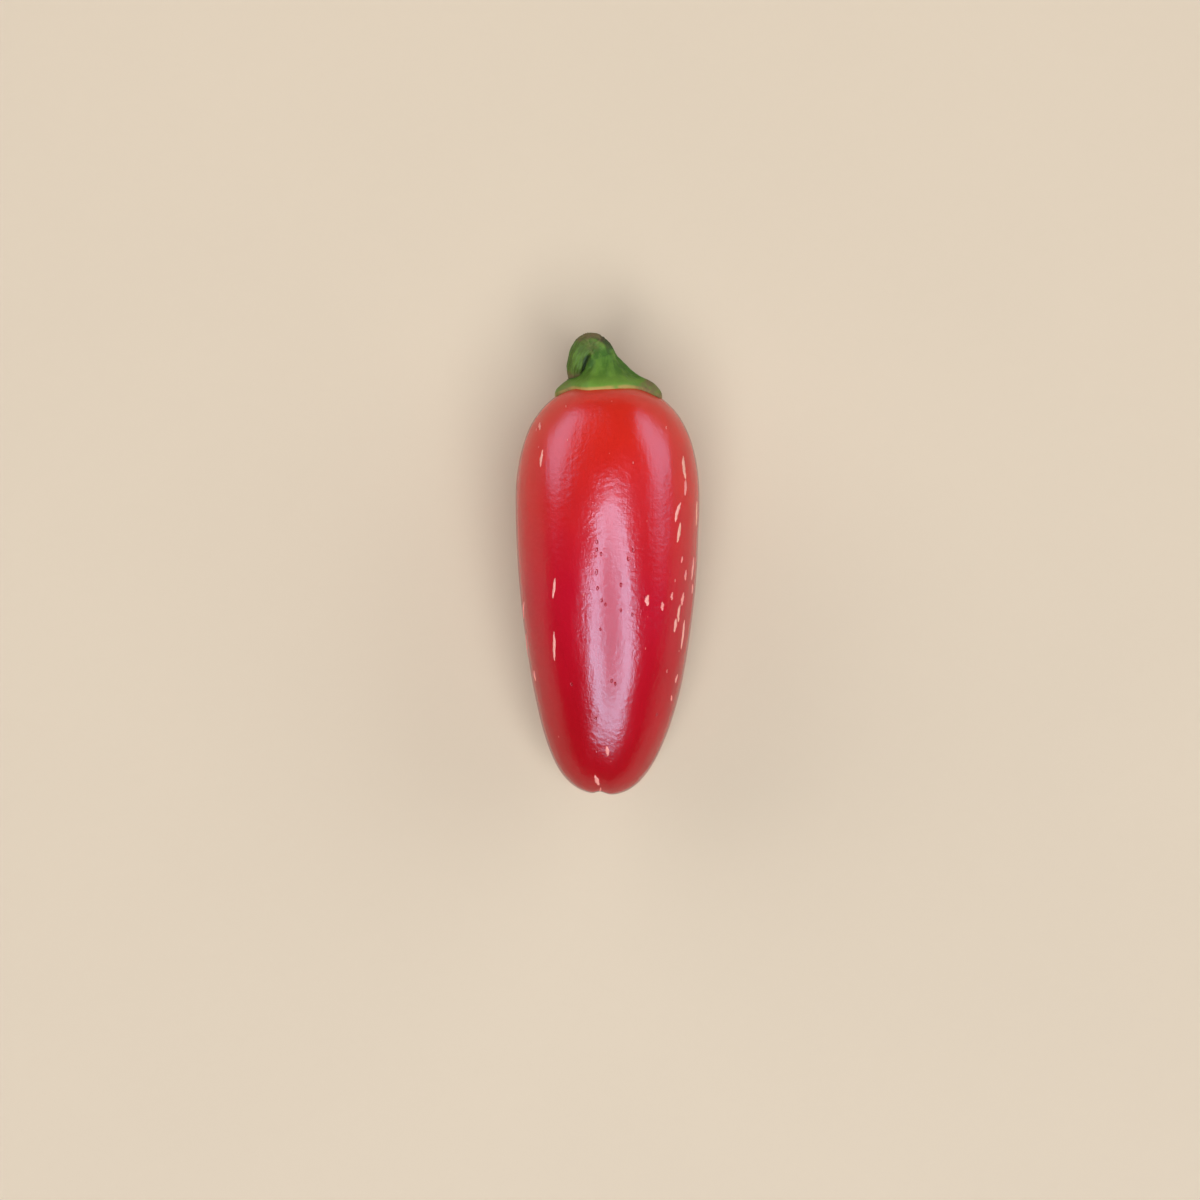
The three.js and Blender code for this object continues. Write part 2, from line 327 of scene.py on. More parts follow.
class Sheet:
    """The node tree of one material, light or sky."""

    def __init__(self, owner: bpy.types.Material | bpy.types.Light | bpy.types.World) -> None:
        """Clears the node tree of its owner, to start anew.

        Args:
            owner: the material, light or world.
        """
        owner.use_nodes = True
        self.owner = owner
        self.tree = owner.node_tree
        self.tree.nodes.clear()

    @classmethod
    def material(cls, name: str) -> "Sheet":
        """Starts a new material."""
        return cls(bpy.data.materials.new(name))

    def add(
        self, kind: str, settings: Mapping[str, object], inputs: Mapping[str | int, Input]
    ) -> bpy.types.Node:
        """Adds one node.

        Args:
            kind: the node's type.
            settings: its own settings, and "stops" for a ramp's places and colours.
            inputs: the value or the link of each socket that is set.

        Returns:
            The node.
        """
        made = self.tree.nodes.new(kind)
        for name, value in settings.items():
            if name == "stops":
                self._set_stops(made.color_ramp, value)
            else:
                setattr(made, name, value)
        for name, value in inputs.items():
            if isinstance(value, Signal):
                self.tree.links.new(value.socket, made.inputs[name])
            elif isinstance(value, tuple) and made.inputs[name].type == "RGBA":
                made.inputs[name].default_value = (*value, 1.0)
            else:
                made.inputs[name].default_value = value
        return made

    def node(
        self,
        kind: str,
        settings: Mapping[str, object],
        inputs: Mapping[str | int, Input],
        output: str | int = 0,
    ) -> Signal:
        """Adds one node and goes on with the output of that name or number."""
        return Signal(self, self.add(kind, settings, inputs).outputs[output])

    @staticmethod
    def _set_stops(ramp: bpy.types.ColorRamp, stops: Sequence[tuple[float, Colour]]) -> None:
        """Gives a ramp its places and colours.

        Args:
            ramp: the colour ramp.
            stops: each place and its colour, from low to high.
        """
        while len(ramp.elements) < len(stops):
            ramp.elements.new(1.0)
        for element, (place, colour) in zip(ramp.elements, stops):
            element.position = place
            element.color = (*colour, 1.0)

    def millimetres(self) -> Signal:
        """The place on the object, in millimetres."""
        place = self.node("ShaderNodeTexCoord", {}, {}, output="Object")
        return self.stretch(place, (1 / MM, 1 / MM, 1 / MM))

    def attribute(self, name: str, vector: bool = False) -> Signal:
        """A number, or a vector, that is stored at the piece's points."""
        settings = {"attribute_type": "GEOMETRY", "attribute_name": name}
        return self.node("ShaderNodeAttribute", settings, {}, output="Vector" if vector else "Fac")

    def stretch(self, place: Signal, scale: tuple[float, float, float]) -> Signal:
        """A place with each of its coordinates multiplied."""
        return self.node("ShaderNodeVectorMath", {"operation": "MULTIPLY"}, {0: place, 1: scale})

    def part(self, place: Signal, axis: int) -> Signal:
        """One of a place's coordinates: 0 for X, 1 for Y, 2 for Z."""
        return self.node("ShaderNodeSeparateXYZ", {}, {0: place}, output=axis)

    def clouds(
        self, place: Signal, per_unit: float, detail: float = 2.0, roughness: float = 0.5
    ) -> Signal:
        """Soft noise from 0 to 1.

        Args:
            place: where it is read.
            per_unit: how many clouds there are to a unit.
            detail: how many finer layers it has.
            roughness: how strong those are.

        Returns:
            The noise.
        """
        inputs = {"Vector": place, "Scale": per_unit, "Detail": detail, "Roughness": roughness}
        return self.node("ShaderNodeTexNoise", {}, inputs)

    def cells(self, place: Signal, per_unit: float, output: str = "Distance") -> Signal:
        """The distance to the nearest of scattered points, or another output, as its own Color."""
        return self.node("ShaderNodeTexVoronoi", {}, {"Vector": place, "Scale": per_unit}, output)

    def specks(self, place: Signal, per_unit: float, radius: float, share: float) -> Signal:
        """Small round marks at scattered points.

        Args:
            place: where they are read.
            per_unit: how many points there are to a unit.
            radius: a mark's size as a share of the spacing.
            share: how many of the points have a mark.

        Returns:
            1 in the middle of a mark and 0 outside all of them.
        """
        spot = self.cells(place, per_unit).ease(radius, radius * 0.45)
        own_colour = self.cells(place, per_unit, output="Color")
        chosen = self.node("ShaderNodeSeparateColor", {}, {0: own_colour})
        return spot * chosen.ease(share + 0.02, share - 0.02)

    def blend(self, share: Input, first: Input, second: Input, way: str = "MIX") -> Signal:
        """Mixes two colours.

        Args:
            share: how much of the second is taken.
            first: a colour.
            second: a colour.
            way: how they mix.

        Returns:
            The mixed colour.
        """
        settings = {"data_type": "RGBA", "blend_type": way}
        # A Mix node has its colours in sockets 6 and 7 and gives the mixed one as output 2.
        inputs = {0: share, 6: first, 7: second}
        return self.node("ShaderNodeMix", settings, inputs, output=2)

    def ramp(self, share: Signal, *stops: tuple[float, Colour]) -> Signal:
        """Colours by a number, from the first stop to the last."""
        return self.node("ShaderNodeValToRGB", {"stops": stops}, {0: share})

    def relief(self, height: Signal, distance: float, below: Signal | None = None) -> Signal:
        """Bends the shading as relief does.

        Args:
            height: the relief, from 0 to 1.
            distance: its height in millimetres.
            below: a coarser relief that it lies on.

        Returns:
            The normal.
        """
        inputs: dict[str | int, Input] = {"Height": height, "Distance": distance * MM}
        if below is not None:
            inputs["Normal"] = below
        return self.node("ShaderNodeBump", {}, inputs)

    def finish(self, inputs: Mapping[str | int, Input]) -> bpy.types.Material:
        """Ends the tree with a Principled shader.

        Args:
            inputs: the value or the link of each of its sockets that is set.

        Returns:
            The material.
        """
        shader = self.node("ShaderNodeBsdfPrincipled", {}, inputs)
        self.add("ShaderNodeOutputMaterial", {}, {"Surface": shader})
        return self.owner


@dataclass(frozen=True)
class SkinFinish:
    """Ripe skin: a thin glossy wax over red flesh that deepens from the shoulder to the tip."""

    shoulder: Colour = (0.47, 0.010, 0.003)
    middle: Colour = (0.355, 0.001, 0.006)
    tip: Colour = (0.27, 0.0004, 0.002)
    freckle: Colour = (0.46, 0.045, 0.025)
    roughness: float = 0.17
    tip_station: float = -32.0
    red_change_run: float = 58.0
    red_change_wander: float = 0.22
    pit_radius: float = 0.2
    shorter: tuple[float, float, float] = (1.0, 0.55, 1.0)  # pits reach further along the pod
    lengthways: tuple[float, float, float] = (1.0, 0.16, 1.0)

    def _dents(self, sheet: Sheet, place: Signal, pits: Sequence[Vector]) -> Signal:
        """Marks the small dents: a few scattered ones, and those at given places.

        Args:
            sheet: the material's sheet.
            place: the place on the skin, in millimetres.
            pits: where the given ones are.

        Returns:
            1 in the middle of a dent and 0 outside all of them.
        """
        drawn = sheet.stretch(place, self.shorter)
        dents = sheet.specks(drawn, 0.6, radius=0.11, share=0.1)
        for pit in pits:
            inputs = {0: drawn, 1: tuple(pit * Vector(self.shorter))}
            away = sheet.node("ShaderNodeVectorMath", {"operation": "DISTANCE"}, inputs, "Value")
            dents = dents.most(away.ease(self.pit_radius, 0.3 * self.pit_radius))
        return dents

    def make(self, pits: Sequence[Vector]) -> bpy.types.Material:
        """Builds the material.

        Args:
            pits: where the skin has small dents, in the frame's millimetres.

        Returns:
            The material.
        """
        sheet = Sheet.material("ripe_skin")
        place = sheet.millimetres()
        lengthways = sheet.stretch(place, self.lengthways)
        # the red deepens from the shoulder to the tip, with a soft wander along the way
        wander = (sheet.clouds(place, 0.11) - 0.5) * self.red_change_wander
        station = (sheet.part(place, 1) - self.tip_station) / self.red_change_run + wander
        shoulder_to_tip_red = sheet.ramp(station, (0.05, self.tip), (0.48, self.middle), (0.92, self.shoulder))
        drawn = sheet.stretch(place, (1.0, 0.4, 1.0))
        mottle = sheet.clouds(drawn, 0.3, detail=3.0, roughness=0.6)
        grain = sheet.clouds(lengthways, 2.4)
        shade = 0.86 + mottle * 0.2 + grain * 0.08
        grey = sheet.node("ShaderNodeCombineColor", {}, {0: shade, 1: shade, 2: shade})
        toned = sheet.blend(1.0, shoulder_to_tip_red, grey, "MULTIPLY")
        drawn = sheet.stretch(place, (1.0, 0.7, 1.0))
        freckles = sheet.specks(drawn, 0.42, radius=0.07, share=0.3)
        dents = self._dents(sheet, place, pits)
        colour = sheet.blend(freckles * 0.45, toned, self.freckle)
        # painted shade: each dent is darkened towards the tip's deep red
        colour = sheet.blend(dents * 0.7, colour, self.tip)
        waves = sheet.relief(sheet.clouds(lengthways, 0.28, detail=1.0), distance=0.14)
        peel = sheet.relief(sheet.clouds(place, 1.5), distance=0.04, below=waves)
        fine = sheet.clouds(place, 7.0, detail=1.0) + grain * 1.5 + dents * -10.0
        pores = sheet.relief(fine, distance=0.01, below=peel)
        return sheet.finish(
            {
                "Base Color": colour,
                "Roughness": self.roughness + mottle * 0.08 + freckles * 0.15,
                "IOR": 1.45,
                "Subsurface Weight": 0.04,
                "Subsurface Radius": (1.0, 0.15, 0.08),
                "Subsurface Scale": 1.5 * MM,
                "Normal": pores,
            }
        )


@dataclass(frozen=True)
class CorkFinish:
    """Healed cracks: dry pale cork with a fine grain, some of them tan and some still pink."""

    pale: Colour = (0.64, 0.18, 0.115)
    tan: Colour = (0.56, 0.19, 0.095)
    pink: Colour = (0.56, 0.085, 0.06)
    roughness: float = 0.62

    def make(self) -> bpy.types.Material:
        """Builds the material.

        Returns:
            The material, which reads the streaks' age attribute.
        """
        sheet = Sheet.material("healed_cork")
        place = sheet.millimetres()
        drawn = sheet.stretch(place, (1.0, 0.35, 1.0))
        fibres = sheet.clouds(drawn, 5.0, detail=3.0, roughness=0.6)
        age = sheet.attribute("age")
        colour = sheet.ramp(age, (0.0, self.pink), (0.45, self.pale), (1.0, self.tan))
        colour = sheet.blend(fibres.ease(0.5, 0.72) * 0.5, colour, self.tan)
        return sheet.finish(
            {
                "Base Color": colour,
                "Roughness": self.roughness + fibres * 0.2,
                "IOR": 1.45,
                "Normal": sheet.relief(fibres, distance=0.05),
            }
        )


@dataclass(frozen=True)
class CalyxFinish:
    """Leafy green with veins out to the teeth, a pale margin, dry bruises and painted crevice shade.
    """

    green: Colour = (0.038, 0.064, 0.002)
    light: Colour = (0.105, 0.138, 0.010)
    olive: Colour = (0.055, 0.055, 0.003)
    margin: Colour = (0.34, 0.155, 0.03)
    brown: Colour = (0.135, 0.060, 0.020)
    # painted shade: the colour laid into the crevices of the stalk and along the right tooth's edge
    dark: Colour = (0.010, 0.012, 0.001)
    roughness: float = 0.5

    def make(self) -> bpy.types.Material:
        """Builds the material.

        Returns:
            The material, which reads what is painted on the piece.
        """
        sheet = Sheet.material("calyx_green")
        place = sheet.millimetres()
        grain = sheet.attribute("grain", vector=True)
        veins = sheet.clouds(grain, 2.2, detail=3.0, roughness=0.6)
        blotch = sheet.clouds(place, 0.8)
        colour = sheet.blend(blotch.ease(0.42, 0.7) * 0.6, self.green, self.light)
        colour = sheet.blend(sheet.attribute("limb") * 0.8, colour, self.olive)
        colour = sheet.blend(veins.ease(0.46, 0.62) * 0.45, colour, self.light)
        colour = sheet.blend(sheet.attribute("skirt") * 0.9, colour, self.light)
        pale = sheet.attribute("margin") * sheet.clouds(place, 0.5).ease(0.3, 0.5)
        colour = sheet.blend(pale, colour, self.margin)
        mottle = sheet.clouds(place, 1.6, detail=4.0, roughness=0.65).ease(0.3, 0.7)
        dry = sheet.attribute("dry") * (0.55 + mottle * 0.7)
        colour = sheet.blend(dry.ease(0.05, 1.0) * 0.9, colour, self.brown)
        # painted shade: darkens the crevices between the stalk's limbs, at its fold and along the
        # right tooth's edge
        colour = sheet.blend(sheet.attribute("crevice_shade") * 0.9, colour, self.dark)
        ribs = sheet.relief(veins, distance=0.2)
        skin = sheet.relief(sheet.clouds(place, 6.0), distance=0.02, below=ribs)
        return sheet.finish(
            {
                "Base Color": colour,
                "Roughness": self.roughness + veins * 0.12 + sheet.attribute("dry") * 0.2,
                "Specular IOR Level": 0.15,
                "Subsurface Weight": 0.05,
                "Subsurface Radius": (0.4, 1.0, 0.2),
                "Subsurface Scale": 0.6 * MM,
                "Normal": skin,
            }
        )


@dataclass(frozen=True)
class FloorFinish:
    """A plain pale warm surface."""

    colour: Colour = (0.47, 0.258, 0.138)
    roughness: float = 0.7

    def make(self) -> bpy.types.Material:
        """Builds the material.

        Returns:
            The material.
        """
        sheet = Sheet.material("pale_floor")
        faint = sheet.clouds(sheet.millimetres(), 0.02)
        darker = tuple(channel * 0.96 for channel in self.colour)
        colour = sheet.blend(faint, self.colour, darker)
        return sheet.finish({"Base Color": colour, "Roughness": self.roughness, "IOR": 1.4})


@dataclass(frozen=True)
class Furrow:
    """A furrow between two lobes: where it is round the pod, its depth as a share, its width."""

    degrees: float
    depth: float
    width: float


@dataclass(frozen=True)
class PodForm:
    """The shape of the pod's skin in millimetres. 0 degrees is +X and 90 degrees the top."""

    length: float = 57.5
    half_width: float = 12.85
    widest_share: float = 0.7
    tip_power: float = 1.72
    tip_root: float = 0.36
    shoulder_power: float = 2.56
    shoulder_root: float = 0.389
    sway: float = 0.9
    sway_run: float = 20.0
    slant: float = 0.1
    slant_run: float = 5.0
    tilt_degrees: float = 3.9
    rest_cut: float = 0.2
    furrow_start: float = 0.68
    furrow_run: float = 0.28
    shoulder_furrows: tuple[Furrow, ...] = (
        Furrow(97, 0.075, 27),
        Furrow(209, 0.06, 24),
        Furrow(326, 0.06, 24),
    )
    tip_furrows: tuple[Furrow, ...] = (
        Furrow(98, 0.13, 17),
        Furrow(200, 0.03, 22),
        Furrow(281, 0.11, 20),
    )
    tip_furrow_run: float = 2.6
    cleft_depth: float = 0.75
    cleft_half_width: float = 0.85
    cleft_half_length: float = 2.6

    def fullness(self, share: float) -> float:
        """Gives the pod its outline.

        Args:
            share: where along it, as a share of its length from the tip.

        Returns:
            The half width there, as a share of its widest.
        """
        if share < self.widest_share:
            towards_tip = 1.0 - max(share, 0.0) / self.widest_share
            return (1.0 - towards_tip**self.tip_power) ** self.tip_root
        towards_shoulder = min((share - self.widest_share) / (1.0 - self.widest_share), 1.0)
        return (1.0 - towards_shoulder**self.shoulder_power) ** self.shoulder_root

    def furrowed(self, share: float, degrees: float) -> float:
        """Draws the furrows in.

        Args:
            share: where along the pod, as a share of its length from the tip.
            degrees: the angle round it.

        Returns:
            What they leave of the half width, as a share.
        """
        at_shoulder = smooth_step(share, self.furrow_start, self.furrow_start + self.furrow_run)
        at_tip = math.exp(-share * self.length / self.tip_furrow_run)
        drawn_in = 0.0
        for strength, furrows in ((at_shoulder, self.shoulder_furrows), (at_tip, self.tip_furrows)):
            for furrow in furrows:
                drawn_in += strength * furrow.depth * swell(degrees, furrow.degrees, furrow.width)
        return 1.0 - drawn_in

    def shoulder_station(self, radius: float, degrees: float) -> float:
        """Finds how far along the pod its shoulder's dome is.

        Args:
            radius: the distance from the axis.
            degrees: the angle round it.

        Returns:
            The dome's station there.
        """
        filled = min(radius / (self.half_width * self.furrowed(1.0, degrees)), 1.0)
        along = (1.0 - filled ** (1.0 / self.shoulder_root)) ** (1.0 / self.shoulder_power)
        return self.length * (self.widest_share + (1.0 - self.widest_share) * along)

    def shaped(self, turned: Vector) -> Vector:
        """Gives a plain body of revolution its furrows, its swayed tip and its blossom cleft.

        Args:
            turned: a point of that body.

        Returns:
            The point of the pod's skin.
        """
        station = turned.y
        share = station / self.length
        drawn = self.furrowed(share, math.degrees(math.atan2(turned.z, turned.x)))
        across = turned.x * drawn
        up = turned.z * drawn
        sway = self.sway * max(1.0 - station / self.sway_run, 0.0) ** 2
        slant = self.slant * across * math.exp(-station / self.slant_run)
        in_cleft = (across / self.cleft_half_width) ** 2 + (up / self.cleft_half_length) ** 2
        cleft = self.cleft_depth * math.exp(-in_cleft) if share < 0.5 else 0.0
        return Vector((across - sway, station + cleft - slant, up))

    def point(self, station: float, degrees: float) -> Vector:
        """Finds a point of the skin.

        Args:
            station: how far it is from the tip.
            degrees: its angle round the pod.

        Returns:
            The point.
        """
        radius = self.half_width * self.fullness(station / self.length)
        angle = math.radians(degrees)
        return self.shaped(Vector((radius * math.cos(angle), station, radius * math.sin(angle))))

    def degrees_at(self, across: float, station: float) -> float:
        """Finds the angle round the pod of a place on its upper side.

        Args:
            across: how far the place is from the axis, towards +X.
            station: how far it is from the tip.

        Returns:
            The angle in degrees.
        """
        right = self.point(station, 0.0).x
        left = self.point(station, 180.0).x
        share = (2.0 * across - right - left) / max(right - left, TINY)
        return math.degrees(math.acos(min(max(share, -1.0), 1.0)))

    def lie(self, front: float) -> Matrix:
        """Works out how the pepper lies: its tilt, its height, and its place in the frame.

        Args:
            front: where its tip is along Y in the frame, in millimetres.

        Returns:
            The transform from the pod's millimetres to the frame's metres.
        """
        tilt = Matrix.Rotation(math.radians(self.tilt_degrees), 4, "X")
        stations = [self.length * k / 240 for k in range(241)]
        underside = range(225, 316, 3)
        lowest = min((tilt @ self.point(y, d)).z for y in stations for d in underside)
        near_tip = [0.02 * k for k in range(150)]
        all_round = range(0, 360, 5)
        foremost = min((tilt @ self.point(y, d)).y for y in near_tip for d in all_round)
        lift = Matrix.Translation((0.0, front - foremost, -lowest - self.rest_cut))
        return Matrix.Scale(MM, 4) @ lift @ tilt


@dataclass(frozen=True)
class Viewpoint:
    """Where the photograph was taken from, straight above, and how much it takes in.

    All of it is in millimetres.
    """

    place: Vector = field(default_factory=lambda: Vector((-1.05, -4.83, 340.0)))
    middle_height: float = 12.5
    frame_width: float = 168.0  # from side to side at the pepper's middle height
    sensor: float = 36.0


@dataclass(frozen=True)
class Sight:
    """Finds marks on the skin by where the photograph shows them."""

    form: PodForm
    lie: Matrix
    view: Viewpoint
    front: float  # where the pod's tip is along Y in the frame, in millimetres
    rounds: int = 8  # each brings the point found nearer to the line of sight

    def on_skin(self, across: float, station: float) -> Vector:
        """Follows a line of sight down to the skin.

        Args:
            across: how far from the axis the photograph shows the place, measured at mid height.
            station: how far from the tip, measured at mid height.

        Returns:
            The point of the skin, in the pod's millimetres.
        """
        middle = Vector((across, self.front + station, self.view.middle_height))
        to_pod = self.lie.inverted()
        height = self.view.middle_height
        found = middle
        for _ in range(self.rounds):
            drop = (self.view.place.z - height) / (self.view.place.z - middle.z)
            spot = to_pod @ (self.view.place.lerp(middle, drop) * MM)
            reach = min(max(spot.y, 0.0), self.form.length)
            found = self.form.point(reach, self.form.degrees_at(spot.x, reach))
            height = (self.lie @ found).z / MM
        return found


@dataclass
class Pod:
    """The pod: one closed skin from the blossom tip to the shoulder under the calyx."""

    form: PodForm
    lie: Matrix
    sight: Sight
    finish: SkinFinish = field(default_factory=SkinFinish)
    pits: tuple[tuple[float, float], ...] = (  # how far across and along the photograph shows them
        (-1.5, 35.5),
        (-1.5, 34.4),
        (-0.9, 33.8),
        (-1.5, 31.4),
        (-1.4, 29.0),
        (-0.8, 27.3),
        (-0.3, 26.7),
        (-1.0, 23.2),
        (2.9, 33.1),
        (1.9, 29.5),
        (1.9, 25.9),
        (3.5, 25.3),
        (0.6, 16.0),
        (1.1, 15.6),
    )
    sides: int = 64
    rings: int = 48
    ring_crowding: float = 2.3
    unevenness: float = 0.22
    unevenness_grain: float = 9.0

    def _profile(self, from_tip: float) -> tuple[float, float]:
        """Places a ring. The rings draw together towards both ends.

        Args:
            from_tip: the ring's share of the way from the tip's pole to the shoulder's.

        Returns:
            Its station and its radius.
        """
        tip_part = from_tip**self.ring_crowding
        share = tip_part / (tip_part + (1.0 - from_tip) ** self.ring_crowding)
        return share * self.form.length, self.form.half_width * self.form.fullness(share)

    def build(self) -> bpy.types.Object:
        """Throws the pod and shapes its skin, in millimetres along Y.

        Returns:
            The piece, not yet laid down.
        """
        pod = Bench.throw("pepper_pod", self.sides, self.rings, self._profile)
        Bench.apply(pod, "SUBSURF", levels=2, render_levels=2)
        Bench.sculpt(pod, self.form.shaped)
        Bench.roughen(pod, self.unevenness_grain, self.unevenness, depth=1)
        return pod

    def dress(self, pod: bpy.types.Object) -> None:
        """Lays the pod down on its flat spot and gives it its skin.

        Args:
            pod: the piece.
        """
        Bench.lay(pod, self.lie)
        with Bench.editing(pod) as mesh:
            Bench.grab(pod, [point for point in mesh.verts if point.co.z < 0.0])
            bpy.ops.transform.resize(value=(1.0, 1.0, 0.0), center_override=(0.0, 0.0, 0.0))
        pits = [self.lie @ self.sight.on_skin(*place) / MM for place in self.pits]
        pod.data.materials.append(self.finish.make(pits))
        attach(pod, "root")
        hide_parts(Node.POD.value)


@dataclass(frozen=True)
class Streak:
    """One healed crack. across and station are where the photograph shows its middle."""

    across: float
    station: float
    length: float
    slant: float = 0.0
    width: float = 0.86


@dataclass
class CorkStreaks:
    """The corky growth cracks that stand a little out of the skin, and the flower's scar."""

    form: PodForm
    lie: Matrix
    sight: Sight
    finish: CorkFinish = field(default_factory=CorkFinish)
    floor_clearance: float = 0.4
    proud: float = 0.08
    sunk: float = 0.03
    thickness: float = 0.25
    full_length: float = 3.5  # from here on a crack is as pale and dry as they get
    stoutest: float = 0.48  # a crack's width is at most this share of its length
    columns: int = 4
    rows: int = 20
    narrow_end: float = 0.08
    raggedness: tuple[float, float] = (0.75, 1.1)
    wander: float = 0.1
    blanks: int = 7
    seed: int = 5
    upper: tuple[Streak, ...] = (
        Streak(10.7, 45.9, 3.5, -0.6, 1.05),
        Streak(10.9, 43.1, 2.4, -0.15),
        Streak(9.85, 39.7, 3.0, 0.7),
        Streak(9.9, 36.8, 3.0, 0.4),
        Streak(10.4, 33.0, 1.0),
        Streak(10.9, 30.8, 1.6),
        Streak(12.0, 31.8, 3.5, 0.3),
        Streak(11.9, 28.9, 1.4),
        Streak(12.5, 39.5, 3.8, 0.1),
        Streak(9.1, 27.9, 1.2),
        Streak(10.5, 27.5, 2.1, 0.2),
        Streak(5.7, 27.3, 1.7),
        Streak(7.8, 26.5, 1.4),
        Streak(10.0, 25.5, 2.7, 0.2),
        Streak(9.4, 23.8, 2.0),
        Streak(10.5, 22.5, 4.4, 0.4),
        Streak(9.6, 16.4, 1.4, 0.3),
        Streak(9.0, 13.7, 0.9),
        Streak(-9.4, 51.7, 1.2),
        Streak(-9.3, 47.2, 2.7, 0.3, 0.62),
        Streak(-7.6, 29.0, 3.1, 0.1, 0.6),
        Streak(-7.4, 20.9, 4.4, 0.0, 0.6),
        Streak(-11.7, 25.9, 2.8),
        Streak(-11.3, 20.9, 3.6, -0.2),
        Streak(-10.2, 16.7, 1.6, -0.3),
        Streak(-0.2, 6.2, 1.4, -0.35),
    )
    specks: tuple[Streak, ...] = (
        Streak(-9.9, 51.2, 0.5, 0.0, 0.45),
        Streak(-5.8, 54.5, 0.4, 0.0, 0.4),
        Streak(-5.7, 49.8, 0.4, 0.0, 0.4),
        Streak(-3.3, 28.1, 0.5, 0.0, 0.4),
        Streak(8.2, 51.5, 0.5, 0.0, 0.4),
        Streak(3.7, 46.6, 0.4, 0.0, 0.4),
        Streak(9.5, 30.1, 0.5, 0.0, 0.4),
        Streak(5.3, 20.6, 0.4, 0.0, 0.4),
        Streak(8.3, 17.4, 0.5, 0.0, 0.4),
    )
    scar: tuple[Streak, ...] = (Streak(-1.4, 2.1, 1.5, -0.55, 0.9), Streak(-1.05, 0.8, 0.7))
    below_count: int = 13
    below_degrees: tuple[float, float] = (190.0, 350.0)
    below_stations: tuple[float, float] = (14.0, 50.0)
    below_lengths: tuple[float, float] = (1.2, 3.6)
    below_steps: tuple[float, float, float] = (0.618, 0.382, 0.271)

    def _blank(self, chance: random.Random) -> bpy.types.Object:
        """Cuts one ragged strip, a unit long and wide, with its crest weighted.

        Args:
            chance: where its raggedness comes from.

        Returns:
            The strip.
        """
        bpy.ops.mesh.primitive_grid_add(
            x_subdivisions=self.columns, y_subdivisions=self.rows, size=1.0
        )
        strip = bpy.context.object
        crest = strip.vertex_groups.new(name="crest")
        for vertex in strip.data.vertices:
            x, y = vertex.co.x * 2.0, vertex.co.y * 2.0
            crest.add([vertex.index], max(1.0 - x * x, 0.0) * max(1.0 - y**6, 0.0), "REPLACE")
        with Bench.editing(strip) as mesh:
            rows: dict[int, list[bmesh.types.BMVert]] = {}
            for point in mesh.verts:
                rows.setdefault(round((point.co.y + 0.5) * self.rows), []).append(point)
            lean = 0.0
            for number in sorted(rows):
                share = number / self.rows
                width = self.narrow_end + math.sin(math.pi * share) ** 0.75
                width *= chance.uniform(*self.raggedness)
                lean += chance.uniform(-self.wander, self.wander)
                middle = (0.0, share - 0.5, 0.0)
                Bench.grab(strip, rows[number])
                bpy.ops.transform.resize(value=(width, 1.0, 1.0), center_override=middle)
                bpy.ops.transform.translate(value=(lean, chance.uniform(-0.01, 0.01), 0.0))
        return strip

    def _place(self, low: Vector, high: Vector, width: float) -> Matrix:
        """Works out how a strip is laid on the skin.

        Args:
            low: its end towards the tip.
            high: its other end.
            width: its width.

        Returns:
            The transform that gives the strip its place, width, length and outward side.
        """
        middle = (low + high) / 2.0
        along = (high - low).normalized()
        outward = Vector((middle.x, 0.0, middle.z))
        out = (outward - along * outward.dot(along)).normalized()
        basis = Matrix((along.cross(out) * width, high - low, out)).transposed().to_4x4()
        return Matrix.Translation(middle) @ basis

    def _upper_places(self, streaks: Sequence[Streak]) -> Iterator[Matrix]:
        """Places the streaks that the photograph shows.

        Args:
            streaks: their places and sizes.

        Yields:
            Each one's transform.
        """
        for streak in streaks:
            low, high = (
                self.sight.on_skin(
                    streak.across + end * streak.slant, streak.station + end * streak.length
                )
                for end in (-0.5, 0.5)
            )
            width = min(streak.width, self.stoutest * streak.length)
            yield self._place(low, high, width)

    def _lower_places(self) -> Iterator[Matrix]:
        """Spreads streaks by a rule over the side that the pod lies on, clear of the floor.

        Yields:
            Each one's transform.
        """
        ranges = (self.below_degrees, self.below_stations, self.below_lengths)
        for k in range(1, self.below_count + 1):
            degrees, station, length = (
                first + (last - first) * (k * step % 1.0)
                for (first, last), step in zip(ranges, self.below_steps)
            )
            ends = [self.form.point(station + end * length, degrees) for end in (-0.5, 0.5)]
            if all((self.lie @ end).z > self.floor_clearance * MM for end in ends):
                yield self._place(*ends, Streak.width)

